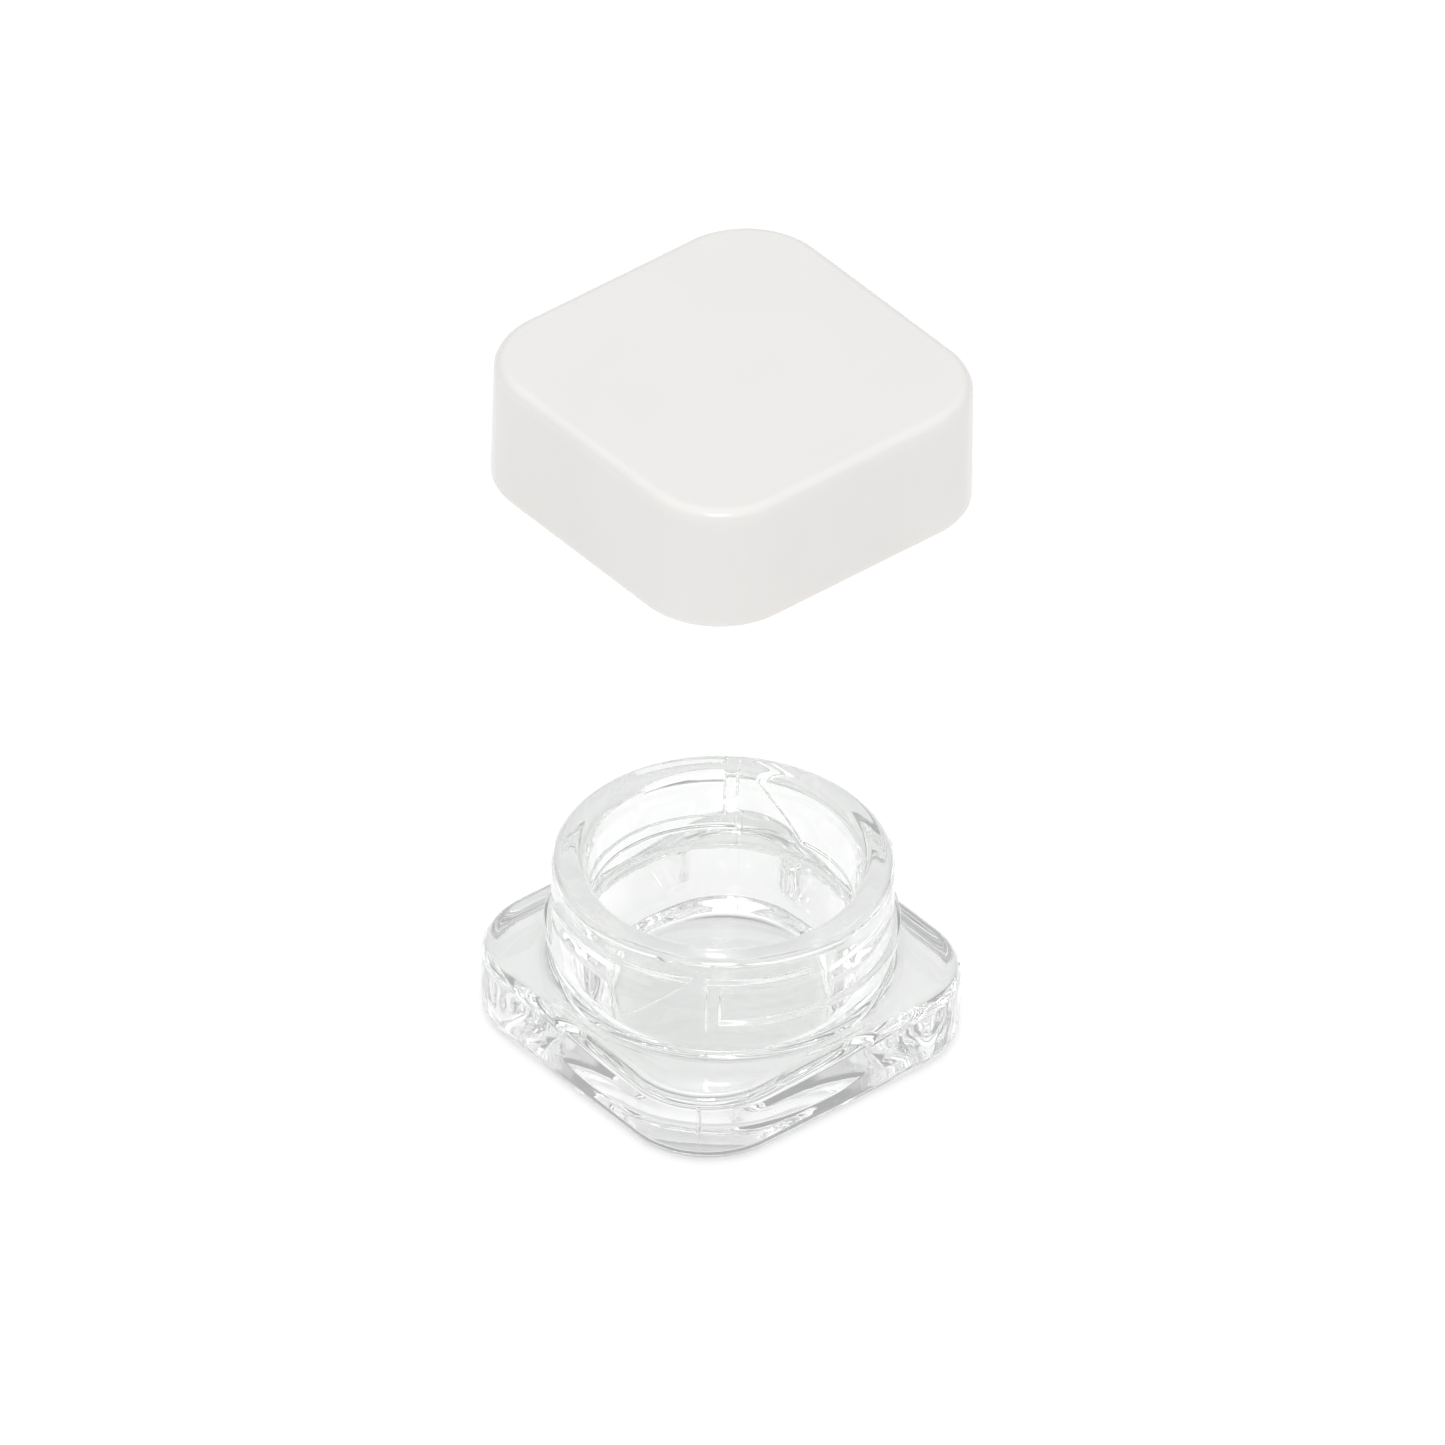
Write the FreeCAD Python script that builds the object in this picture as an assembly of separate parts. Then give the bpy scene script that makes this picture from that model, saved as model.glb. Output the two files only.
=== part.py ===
import FreeCAD, Part
import math
import os

# Square specimen jar: a pressed glass jar with a round lugged neck, and a two-piece square cap with a
# loose sealing disc. The cap stands lifted above the jar, square with its base, as it is handed over.
#
# Frame, millimetres: the origin is the middle of the underside, +Z is up the axis of the neck, and X and Y
# run square to the sides. Neck angles are counted counter-clockwise, from above, from the seam corner
# (-X, -Y), where one of the two stop ribs stands. All neck features repeat half a turn round.

V = FreeCAD.Vector
Z_AXIS = V(0, 0, 1)
ORIGIN = V(0, 0, 0)

# ---- Driving dimensions -------------------------------------------------------------------------------

# Glass neck
NECK_R = 15.15              # plain outside of the neck
NECK_HEIGHT = 10.35         # shoulder to rim
NECK_ROOT_R = 1.4           # fillet where the neck leaves the shoulder
RIM_WALL = 3.0              # glass thickness at the rim
RIM_OUTER_R = 0.9           # rounding of the rim, outside
RIM_INNER_R = 1.0           # and inside

# Lug track on the neck: heights are counted down from the rim
TRACK_RISE = 0.60           # how far hooks, ledges, pads and ribs stand out of the neck
HOOK_DROP = 1.70            # rim down to the top of the hooks
HOOK_THICKNESS = 1.15       # hook, top to underside
CHANNEL_HEIGHT = 3.35       # hook underside down to the ledge
LEDGE_THICKNESS = 1.40
HOOK_SPAN = (-1.0, 36.0)    # degrees round the neck
RIB_SPAN = (-0.5, 5.0)
PAD_GAP = 1.8               # from the lug's way down to the pad
PAD_FOOT_END = 153.0        # the pad's slanting end, at the ledge's underside
PAD_HEAD_END = 176.6        # and at the height of the hook's top

# Glass base
BASE_HEIGHT = 7.55
BASE_MARGIN = 0.23          # how far the base stands out beyond the cap, each side
BASE_CORNER_R = 8.4
SHOULDER_FILLET = 1.4
FOOT_FILLET = 1.9
PUNT_R = 11.5               # shallow dish under the base
PUNT_DEPTH = 0.35
SEAM_WIDTH = 0.14           # mould seam on two opposite corners
SEAM_HEIGHT = 0.06

# Cavity
FLOOR_WALL = 4.45           # glass thickness round the cavity at its floor
FLOOR_THICKNESS = 3.4
FLOOR_EDGE_R = 2.0

# Sealing disc
SEAL_THICKNESS = 0.6
SEAL_OVERLAP = 0.35         # disc radius beyond the plain neck
SEAL_EDGE = 0.06            # chamfer of its edges

# Inner cap
INSERT_WALL = 0.62
INSERT_TOP = 0.7
LUG_THICKNESS = 1.8
LUG_SPAN = 14.0             # degrees
BEAD_HEIGHT = 0.36          # bead that keeps the disc in
BEAD_CREST = 0.144          # flat of the bead
FIN_THICKNESS = 1.0         # drive fins in the cover's corners
FIN_RAISE = 1.2             # foot of the fins above the insert's lower edge
INSERT_EDGE_R = 0.4
INSERT_LIP_R = 0.15         # rounding of the insert's lower edge

# Outer shell
SHELL_MIN_WALL = 0.55       # thinnest place, beside the bore at the ceiling
SHELL_WALL = 1.2            # wall elsewhere
SHELL_TOP = 0.9
SHELL_CORNER_R = 7.95       # at the lower edge
SHELL_TOP_FILLET = 1.1
SHELL_LIP_R = 0.25          # rounding of the shell's lower outer edge
SHELL_DRAFT = 0.6           # degrees, narrower at the top
KEY_THICKNESS = 0.8         # ribs either side of each fin
CATCH_HEIGHT = 0.5          # snap catch under each fin
CATCH_WIDTH = 3.0

# Clearances
TURN_CLEARANCE = 0.20       # insert bore over the track, and lug over the neck
LUG_CLEARANCE = 0.20        # lug under its hook, and beside its stop rib
SEAL_GAP = 0.05             # disc to rim, and disc to insert
SHELL_FIT = 0.03            # insert in the shell, all round
FIN_FIT = 0.06              # fin between its keys, and over its catch
SHOULDER_GAP = 0.35         # closed cap above the shoulder
SKIRT_RECESS = 0.3          # insert's lower edge above the shell's
QUARTER_TURN = 90.0         # unlocked to locked

# Construction
SINK = 1.0                  # how far an added shape reaches into the one it joins
SINK_THIN = 0.1             # the same in a thin wall
SINK_ROOT = 0.2             # and for the fillet at the neck's root
SINK_TURN = 1.0             # and round the neck, in degrees
LAP = 0.01                  # overlap where two track features meet face to face
OVERRUN = 1.0               # how far a cutting shape passes what it cuts
LEVEL_TOLERANCE = 0.0001    # how level an edge has to be to count as flat

# How far the cap is lifted in the pose in which the object is stored
CAP_LIFT = 52.0

# ---- Sizes that follow --------------------------------------------------------------------------------

RIM_Z = BASE_HEIGHT + NECK_HEIGHT
HOOK_TOP_Z = RIM_Z - HOOK_DROP
HOOK_UNDER_Z = HOOK_TOP_Z - HOOK_THICKNESS
LEDGE_TOP_Z = HOOK_UNDER_Z - CHANNEL_HEIGHT
LEDGE_UNDER_Z = LEDGE_TOP_Z - LEDGE_THICKNESS
TRACK_R = NECK_R + TRACK_RISE
MOUTH_R = NECK_R - RIM_WALL
CAVITY_R = NECK_R - FLOOR_WALL

INSERT_BORE_R = TRACK_R + TURN_CLEARANCE
INSERT_R = INSERT_BORE_R + INSERT_WALL
LUG_R = NECK_R + TURN_CLEARANCE
SHELL_BORE_R = INSERT_R + SHELL_FIT

SEAL_UNDER_Z = RIM_Z + SEAL_GAP
SEAL_TOP_Z = SEAL_UNDER_Z + SEAL_THICKNESS
INSERT_CEILING_Z = SEAL_TOP_Z + SEAL_GAP
INSERT_TOP_Z = INSERT_CEILING_Z + INSERT_TOP
SHELL_TOP_Z = INSERT_TOP_Z + SHELL_TOP
SHELL_UNDER_Z = BASE_HEIGHT + SHOULDER_GAP
INSERT_UNDER_Z = SHELL_UNDER_Z + SKIRT_RECESS
SHELL_HEIGHT = SHELL_TOP_Z - SHELL_UNDER_Z
SHELL_CEILING_DEPTH = INSERT_TOP_Z - SHELL_UNDER_Z

DRAFT_SLOPE = math.tan(math.radians(SHELL_DRAFT))
CAP_SIDE = 2 * (SHELL_BORE_R + SHELL_MIN_WALL + SHELL_CEILING_DEPTH * DRAFT_SLOPE)
BASE_SIDE = CAP_SIDE + 2 * BASE_MARGIN

LUG_TOP_Z = HOOK_UNDER_Z - LUG_CLEARANCE
LUG_START = RIB_SPAN[1] + math.degrees(LUG_CLEARANCE / TRACK_R) + QUARTER_TURN
PAD_START = LUG_START + LUG_SPAN + PAD_GAP
SEAM_ANGLE = 225.0          # direction of the (-X, -Y) corner


# ---- Helpers ------------------------------------------------------------------------------------------

def revolve(points):
    """Closed solid of revolution round Z from (radius, height) points."""
    corners = [V(r, 0, z) for r, z in points]
    face = Part.Face(Part.makePolygon(corners + [corners[0]]))
    return face.revolve(ORIGIN, Z_AXIS, 360)


def ring_sector(r_in, r_out, z_low, z_high, start, end):
    """Part of a tube between two neck angles."""
    profile = Part.makePolygon([V(r_in, 0, z_low), V(r_out, 0, z_low), V(r_out, 0, z_high),
                                V(r_in, 0, z_high), V(r_in, 0, z_low)])
    sector = Part.Face(profile).revolve(ORIGIN, Z_AXIS, end - start)
    sector.rotate(ORIGIN, Z_AXIS, SEAM_ANGLE + start)
    return sector


def radial_block(r_in, r_out, width, z_low, z_high, angle):
    """Upright block centred on a neck angle, standing between two radii."""
    block = Part.makeBox(r_out - r_in, width, z_high - z_low, V(r_in, -width / 2, z_low))
    block.rotate(ORIGIN, Z_AXIS, SEAM_ANGLE + angle)
    return block


def half_turn_copy(shape):
    """The same feature on the far side of the neck."""
    twin = shape.copy()
    twin.rotate(ORIGIN, Z_AXIS, 180)
    return twin


def rounded_square(side, corner_r, z_low, z_high, slope=0.0):
    """Upright rounded square block. Slope narrows each side per unit of height, as mould draft does."""
    height = z_high - z_low
    arm = side / 2 - corner_r
    shrink = slope * height
    low_half, high_half = side / 2, side / 2 - shrink

    def octagon(half, z):
        corners = [(half, -arm), (half, arm), (arm, half), (-arm, half),
                   (-half, arm), (-half, -arm), (-arm, -half), (arm, -half)]
        points = [V(x, y, z) for x, y in corners]
        return Part.makePolygon(points + [points[0]])

    body = Part.makeLoft([octagon(low_half, z_low), octagon(high_half, z_high)], True, True)
    for x, y in ((arm, arm), (-arm, arm), (-arm, -arm), (arm, -arm)):
        if shrink:
            corner = Part.makeCone(corner_r, corner_r - shrink, height, V(x, y, z_low))
        else:
            corner = Part.makeCylinder(corner_r, height, V(x, y, z_low))
        body = body.fuse(corner)
    return body.removeSplitter()


def flat_edges_at(shape, z):
    """Edges that lie in a level plane."""
    return [e for e in shape.Edges
            if abs(e.BoundBox.ZMin - z) < LEVEL_TOLERANCE and abs(e.BoundBox.ZMax - z) < LEVEL_TOLERANCE]


def one_solid(shape):
    """The single solid of a result, cleaned of split faces."""
    cleaned = shape.removeSplitter()
    assert len(cleaned.Solids) == 1, "a piece came apart"
    return cleaned.Solids[0]


def export(shape, node):
    """Write one sub-part."""
    assert shape.isValid(), node
    shape.exportStep("parts/" + node + ".step")
    box = shape.BoundBox
    print("%-12s %8.1f mm3  x %.2f  y %.2f  z %.2f to %.2f"
          % (node, shape.Volume, box.XLength, box.YLength, box.ZMin, box.ZMax))


# ---- Glass jar ----------------------------------------------------------------------------------------

def jar_base():
    """Thick rounded-square foot with soft edges and a shallow dish underneath."""
    base = rounded_square(BASE_SIDE, BASE_CORNER_R, 0, BASE_HEIGHT)
    base = base.makeFillet(SHOULDER_FILLET, flat_edges_at(base, BASE_HEIGHT))
    base = base.makeFillet(FOOT_FILLET, flat_edges_at(base, 0))
    ball_r = (PUNT_R ** 2 + PUNT_DEPTH ** 2) / (2 * PUNT_DEPTH)
    dish = Part.makeSphere(ball_r, V(0, 0, PUNT_DEPTH - ball_r))
    return base.cut(dish)


def jar_neck():
    """Round neck with a rounded rim and a hollow fillet at its root."""
    neck = Part.makeCylinder(NECK_R, NECK_HEIGHT + SINK, V(0, 0, BASE_HEIGHT - SINK))
    neck = neck.makeFillet(RIM_OUTER_R, flat_edges_at(neck, RIM_Z))
    sunk = BASE_HEIGHT - SINK_ROOT
    middle = NECK_ROOT_R * (1 - math.sqrt(0.5))
    start, end = V(NECK_R + NECK_ROOT_R, 0, BASE_HEIGHT), V(NECK_R, 0, BASE_HEIGHT + NECK_ROOT_R)
    hollow = Part.Arc(start, V(NECK_R + middle, 0, BASE_HEIGHT + middle), end).toShape()
    inside = NECK_R - SINK
    rest = Part.makePolygon([end, V(inside, 0, end.z), V(inside, 0, sunk), V(start.x, 0, sunk), start])
    root = Part.Face(Part.Wire([hollow] + rest.Edges)).revolve(ORIGIN, Z_AXIS, 360)
    return neck.fuse(root)


def mouth_flare():
    """The space inside the rim's rounded inner edge."""
    low, high = RIM_Z - RIM_INNER_R, RIM_Z
    middle = RIM_INNER_R * (1 - math.sqrt(0.5))
    start, end = V(MOUTH_R, 0, low), V(MOUTH_R + RIM_INNER_R, 0, high)
    edge = Part.Arc(start, V(MOUTH_R + middle, 0, high - middle), end).toShape()
    over = high + OVERRUN
    rest = Part.makePolygon([end, V(end.x, 0, over), V(0, 0, over), V(0, 0, low), start])
    return Part.Face(Part.Wire([edge] + rest.Edges)).revolve(ORIGIN, Z_AXIS, 360)


def jar_cavity():
    """Round cavity that widens to the mouth, with a rounded floor edge and mouth edge."""
    depth = RIM_Z - FLOOR_THICKNESS
    taper = Part.makeCone(CAVITY_R, MOUTH_R, depth, V(0, 0, FLOOR_THICKNESS))
    taper = taper.makeFillet(FLOOR_EDGE_R, flat_edges_at(taper, FLOOR_THICKNESS))
    return taper.fuse(mouth_flare())


def track_hook():
    """Hook that the cap's lug locks under."""
    return ring_sector(NECK_R - SINK, TRACK_R, HOOK_UNDER_Z, HOOK_TOP_Z, *HOOK_SPAN)


def track_rib():
    """Stop rib that the locked lug meets."""
    return ring_sector(NECK_R - SINK, TRACK_R, LEDGE_UNDER_Z, HOOK_UNDER_Z + LAP, *RIB_SPAN)


def track_ledge():
    """Ledge under the channel, from the rib to the pad."""
    start, end = RIB_SPAN[1] - SINK_TURN, PAD_START + SINK_TURN
    return ring_sector(NECK_R - SINK, TRACK_R, LEDGE_UNDER_Z, LEDGE_TOP_Z, start, end)


def track_pad():
    """Tall pad whose far end slants up to the next hook."""
    pad = ring_sector(NECK_R - SINK, TRACK_R, LEDGE_UNDER_Z, HOOK_TOP_Z, PAD_START, PAD_HEAD_END)
    middle = (PAD_FOOT_END + PAD_HEAD_END) / 2
    reach = TRACK_R * math.sin(math.radians(PAD_HEAD_END - middle))
    rise = HOOK_TOP_Z - LEDGE_UNDER_Z
    slope = rise / (2 * reach)
    far = reach + OVERRUN
    high = rise / 2 + OVERRUN * slope
    corners = [(-far, -high), (far, high), (far + rise, high), (far + rise, -high)]
    z_mid = (HOOK_TOP_Z + LEDGE_UNDER_Z) / 2
    points = [V(0, x, z_mid + z) for x, z in corners]
    below = Part.Face(Part.makePolygon(points + [points[0]])).extrude(V(2 * TRACK_R, 0, 0))
    below.rotate(ORIGIN, Z_AXIS, SEAM_ANGLE + middle)
    return pad.cut(below)


def mould_seam():
    """Fine raised line where the mould halves met, up the corner and the neck."""
    arm = BASE_SIDE / 2 - BASE_CORNER_R
    corner_reach = arm * math.sqrt(2) + BASE_CORNER_R
    corner = radial_block(corner_reach - SINK, corner_reach + SEAM_HEIGHT, SEAM_WIDTH,
                          FOOT_FILLET, BASE_HEIGHT - SHOULDER_FILLET, 0)
    neck = radial_block(NECK_R - SINK, NECK_R + SEAM_HEIGHT, SEAM_WIDTH, BASE_HEIGHT,
                        LEDGE_UNDER_Z + LAP, 0)
    return corner.fuse(neck)


def glass_jar():
    """The whole jar as one pressed piece."""
    jar = jar_base().fuse(jar_neck())
    for make in (track_hook, track_rib, track_ledge, track_pad, mould_seam):
        feature = make()
        jar = jar.fuse(feature).fuse(half_turn_copy(feature))
    return one_solid(jar.cut(jar_cavity()))


# ---- Sealing disc -------------------------------------------------------------------------------------

def seal_disc():
    """Soft disc that rests on the rim and floats in the insert."""
    seal_r = NECK_R + SEAL_OVERLAP
    disc = Part.makeCylinder(seal_r, SEAL_THICKNESS, V(0, 0, SEAL_UNDER_Z))
    return disc.makeChamfer(SEAL_EDGE, disc.Edges[0:1] + flat_edges_at(disc, SEAL_UNDER_Z))


# ---- Inner cap ----------------------------------------------------------------------------------------

def insert_cup():
    """Round cup, open downwards."""
    cup = Part.makeCylinder(INSERT_R, INSERT_TOP_Z - INSERT_UNDER_Z, V(0, 0, INSERT_UNDER_Z))
    cup = cup.makeFillet(INSERT_EDGE_R, flat_edges_at(cup, INSERT_TOP_Z))
    bore = Part.makeCylinder(INSERT_BORE_R, INSERT_CEILING_Z - INSERT_UNDER_Z + OVERRUN,
                             V(0, 0, INSERT_UNDER_Z - OVERRUN))
    cup = cup.cut(bore)
    return cup.makeFillet(INSERT_LIP_R, flat_edges_at(cup, INSERT_UNDER_Z))


def insert_bead():
    """Rounded bead just under the sealing disc, which keeps it in the cup."""
    top = SEAL_UNDER_Z - SEAL_GAP
    low = top - BEAD_HEIGHT
    middle = (top + low) / 2
    root = INSERT_BORE_R + SINK_THIN
    return revolve([(root, low), (INSERT_BORE_R, low), (LUG_R, middle - BEAD_CREST / 2),
                    (LUG_R, middle + BEAD_CREST / 2), (INSERT_BORE_R, top), (root, top)])


def insert_lug():
    """Lug that runs in the channel of the neck."""
    return ring_sector(LUG_R, INSERT_BORE_R + SINK_THIN, LUG_TOP_Z - LUG_THICKNESS, LUG_TOP_Z,
                       LUG_START, LUG_START + LUG_SPAN)


def shell_reach(z):
    """Distance from the axis to the shell's inner corner wall at a height."""
    arm = CAP_SIDE / 2 - SHELL_CORNER_R
    return arm * math.sqrt(2) + SHELL_CORNER_R - SHELL_WALL - (z - SHELL_UNDER_Z) * DRAFT_SLOPE


def insert_fin(angle):
    """Drive fin that stands in one corner of the shell."""
    tip = shell_reach(INSERT_TOP_Z) - FIN_FIT
    return radial_block(INSERT_R - INSERT_WALL / 2, tip, FIN_THICKNESS, INSERT_UNDER_Z + FIN_RAISE,
                        INSERT_TOP_Z, angle)


def inner_cap():
    """Lugged insert with its four drive fins."""
    lug = insert_lug()
    cap = insert_cup().fuse(insert_bead()).fuse(lug).fuse(half_turn_copy(lug))
    for corner in range(4):
        cap = cap.fuse(insert_fin(90 * corner))
    return one_solid(cap)


# ---- Outer shell --------------------------------------------------------------------------------------

def shell_blank():
    """Solid drafted rounded square with its soft edges."""
    blank = rounded_square(CAP_SIDE, SHELL_CORNER_R, SHELL_UNDER_Z, SHELL_TOP_Z, DRAFT_SLOPE)
    blank = blank.makeFillet(SHELL_TOP_FILLET, flat_edges_at(blank, SHELL_TOP_Z))
    return blank.makeFillet(SHELL_LIP_R, flat_edges_at(blank, SHELL_UNDER_Z))


def shell_hollow():
    """Room for the insert, with hollow corners."""
    bore = Part.makeCylinder(SHELL_BORE_R, SHELL_CEILING_DEPTH + OVERRUN,
                             V(0, 0, SHELL_UNDER_Z - OVERRUN))
    corners = rounded_square(CAP_SIDE - 2 * SHELL_WALL, SHELL_CORNER_R - SHELL_WALL, SHELL_UNDER_Z,
                             INSERT_TOP_Z, DRAFT_SLOPE)
    return bore.fuse(corners)


def shell_key(angle):
    """Two keys that hold a fin between them, and the catch it snaps over."""
    fin_foot = INSERT_UNDER_Z + FIN_RAISE
    inner = SHELL_BORE_R + SHELL_FIT
    outer = shell_reach(SHELL_UNDER_Z) + SHELL_WALL / 2
    gap = FIN_THICKNESS + 2 * FIN_FIT
    keys = radial_block(inner, outer, gap + 2 * KEY_THICKNESS, fin_foot, INSERT_TOP_Z, angle)
    slot = radial_block(inner - OVERRUN, outer + OVERRUN, gap, fin_foot - OVERRUN,
                        INSERT_TOP_Z + OVERRUN, angle)
    keys = keys.cut(slot)
    catch_top = fin_foot - FIN_FIT
    fin_tip = shell_reach(INSERT_TOP_Z) - FIN_FIT
    catch = radial_block(fin_tip - CATCH_HEIGHT, outer, CATCH_WIDTH, catch_top - CATCH_HEIGHT,
                         catch_top, angle)
    return keys.fuse(catch)


def outer_shell():
    """Square cover that snaps over the insert."""
    blank = shell_blank()
    shell = blank.cut(shell_hollow())
    for corner in range(4):
        shell = shell.fuse(shell_key(90 * corner).common(blank))
    return one_solid(shell)


# ---- Build --------------------------------------------------------------------------------------------

def lifted(shape):
    """Raise a piece of the cap to its stored height."""
    return shape.translated(V(0, 0, CAP_LIFT))


os.makedirs("parts", exist_ok=True)
print("base side %.3f  cap side %.3f  cap height %.3f  closed height %.3f"
      % (BASE_SIDE, CAP_SIDE, SHELL_HEIGHT, SHELL_TOP_Z))
export(glass_jar(), "glass_jar")
export(lifted(seal_disc()), "seal_disc")
export(lifted(inner_cap()), "inner_cap")
export(lifted(outer_shell()), "outer_shell")
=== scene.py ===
# %% [markdown]
# # A square specimen jar with a quarter-turn cap
# The object is a small pressed-glass jar with a round, lugged neck, and a square white cap that hovers
# above it. The CAD model gives every size and place. This lesson builds the looks round it: the camera
# first, then the glass, the plastic and the foam, and last the light.

# %% Load the frame
import math

import bpy
import numpy as np
from mathutils import Matrix, Vector


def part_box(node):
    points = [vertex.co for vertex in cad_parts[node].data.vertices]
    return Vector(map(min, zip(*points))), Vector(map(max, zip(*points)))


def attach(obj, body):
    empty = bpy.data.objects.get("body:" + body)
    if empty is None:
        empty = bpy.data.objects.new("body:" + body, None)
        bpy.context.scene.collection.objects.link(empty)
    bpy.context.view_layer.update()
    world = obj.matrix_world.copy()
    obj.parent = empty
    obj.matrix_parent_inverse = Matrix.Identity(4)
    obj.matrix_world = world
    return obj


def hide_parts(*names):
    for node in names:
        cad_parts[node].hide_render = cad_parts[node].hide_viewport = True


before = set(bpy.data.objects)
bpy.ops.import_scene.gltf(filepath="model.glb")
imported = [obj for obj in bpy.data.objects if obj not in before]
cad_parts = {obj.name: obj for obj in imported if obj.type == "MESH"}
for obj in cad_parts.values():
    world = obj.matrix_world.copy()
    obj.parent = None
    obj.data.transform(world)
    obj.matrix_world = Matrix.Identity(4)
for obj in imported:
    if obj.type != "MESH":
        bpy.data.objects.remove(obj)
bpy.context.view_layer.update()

MM = 0.001

# %% [markdown]
# ## Sizes
# Boxes from the frame give the outer sizes. The neck's own sizes are not in any box, so they are written
# here once, in millimetres, as the glass maker's drawing would give them.

# %% Sizes of the jar
jar_low, jar_high = (np.array(corner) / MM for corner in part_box("glass_jar"))
SIDE = jar_high[0] - jar_low[0]
RIM_Z = jar_high[2]

BASE_HEIGHT = 7.55
BASE_CORNER_R = 8.4
SHOULDER_FILLET = 1.4
FOOT_FILLET = 1.9
DISH_R = 11.5
DISH_DEPTH = 0.35

NECK_R = 15.15
NECK_ROOT_R = 1.4
RIM_WALL = 3.0
RIM_OUTER_R = 0.9
RIM_INNER_R = 1.0
MOUTH_R = NECK_R - RIM_WALL

FLOOR_WALL = 4.45
FLOOR_Z = 3.4
FLOOR_EDGE_R = 2.0
CAVITY_R = NECK_R - FLOOR_WALL

print("side %.2f mm, rim at %.2f mm, mouth %.2f mm across" % (SIDE, RIM_Z, 2 * MOUTH_R))

# %% Sizes of the lug track
TRACK_RISE = 0.60
HOOK_DROP = 1.70
HOOK_THICKNESS = 1.15
CHANNEL_HEIGHT = 3.35
LEDGE_THICKNESS = 1.40
HOOK_TOP = RIM_Z - HOOK_DROP
HOOK_UNDER = HOOK_TOP - HOOK_THICKNESS
LEDGE_TOP = HOOK_UNDER - CHANNEL_HEIGHT
LEDGE_UNDER = LEDGE_TOP - LEDGE_THICKNESS

# Degrees round the neck, from the seam on the (-X, -Y) corner
SEAM_DIRECTION = 225.0
HOOK_SPAN = (-1.0, 36.0)
RIB_SPAN = (-0.5, 5.0)
PAD_START = 111.53
PAD_FOOT_END = 153.0
PAD_HEAD_END = 176.6
SLANT_MIDDLE = (PAD_FOOT_END + PAD_HEAD_END) / 2
HALF_TURN = 180
DEGREE_ARC = math.radians(1) * NECK_R

SEAM_WIDTH = 0.14
SEAM_HEIGHT = 0.06

print("hooks from %.2f to %.2f mm" % (HOOK_UNDER, HOOK_TOP))
print("ledges from %.2f to %.2f mm" % (LEDGE_UNDER, LEDGE_TOP))

# %% [markdown]
# ## Camera
# The object is looked at from its front corner, about 38 degrees above the table, through a very long
# lens, so upright edges stay upright. The camera aims at a point on the jar's axis between jar and cap.

# %% Place the camera
# Angles are in degrees, distances in metres, and the lens in millimetres.
CAMERA_AZIMUTH = -40.4
CAMERA_ELEVATION = 38.0
CAMERA_ROLL = 1.2
CAMERA_DISTANCE = 3.525
CAMERA_LENS = 1000.0
CAMERA_SHIFT = -0.0026
CAMERA_CLIP = 100
AIM_HEIGHT = 0.0330


def towards(azimuth, elevation):
    """Direction from the jar to a camera or a lamp. Azimuth 0 is in front, and angles are in degrees."""
    azimuth, elevation = math.radians(azimuth), math.radians(elevation)
    return Vector((math.sin(azimuth) * math.cos(elevation),
                   -math.cos(azimuth) * math.cos(elevation), math.sin(elevation)))


def place_camera():
    """A long-lens camera that looks at the axis."""
    back = towards(CAMERA_AZIMUTH, CAMERA_ELEVATION)
    data = bpy.data.cameras.new("camera")
    data.lens = CAMERA_LENS
    data.shift_x = CAMERA_SHIFT
    data.clip_end = CAMERA_CLIP
    camera = bpy.data.objects.new("camera", data)
    bpy.context.collection.objects.link(camera)
    camera.location = Vector((0, 0, AIM_HEIGHT)) + back * CAMERA_DISTANCE
    look = (-back).to_track_quat("-Z", "Y").to_matrix().to_4x4()
    roll = Matrix.Rotation(math.radians(CAMERA_ROLL), 4, "Z")
    camera.rotation_euler = (look @ roll).to_euler()
    bpy.context.scene.camera = camera
    return camera


camera = place_camera()
print("camera at", [round(v, 3) for v in camera.location])

# %% [markdown]
# ## Materials
# Every piece comes out of a mould, so all share one effect: slow clouds in the colour, where the melt
# flowed, and a fine grain copied from the mould's polish. The effect is a node group that each material
# uses with its own values. Its two scales count the clouds and the grains along a metre.

# %% Node helpers
def put(tree, value, socket):
    """Link a value that is a socket, or set one that is a plain number."""
    if isinstance(value, bpy.types.NodeSocket):
        tree.links.new(value, socket)
    else:
        socket.default_value = value


def maths(tree, operation, a, b=0.0):
    """One Math node."""
    node = tree.nodes.new("ShaderNodeMath")
    node.operation = operation
    put(tree, a, node.inputs[0])
    put(tree, b, node.inputs[1])
    return node.outputs[0]


def node_of(tree, kind, **inputs):
    """A node with some inputs set or linked; spaces in input names are written as underscores."""
    node = tree.nodes.new(kind)
    for name, value in inputs.items():
        put(tree, value, node.inputs[name.replace("_", " ")])
    return node


def new_material(name):
    """An empty material with one Principled shader."""
    material = bpy.data.materials.new(name)
    material.use_nodes = True
    return material, material.node_tree.nodes["Principled BSDF"]


print("helpers ready:", [helper.__name__ for helper in (put, maths, node_of, new_material)])

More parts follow.
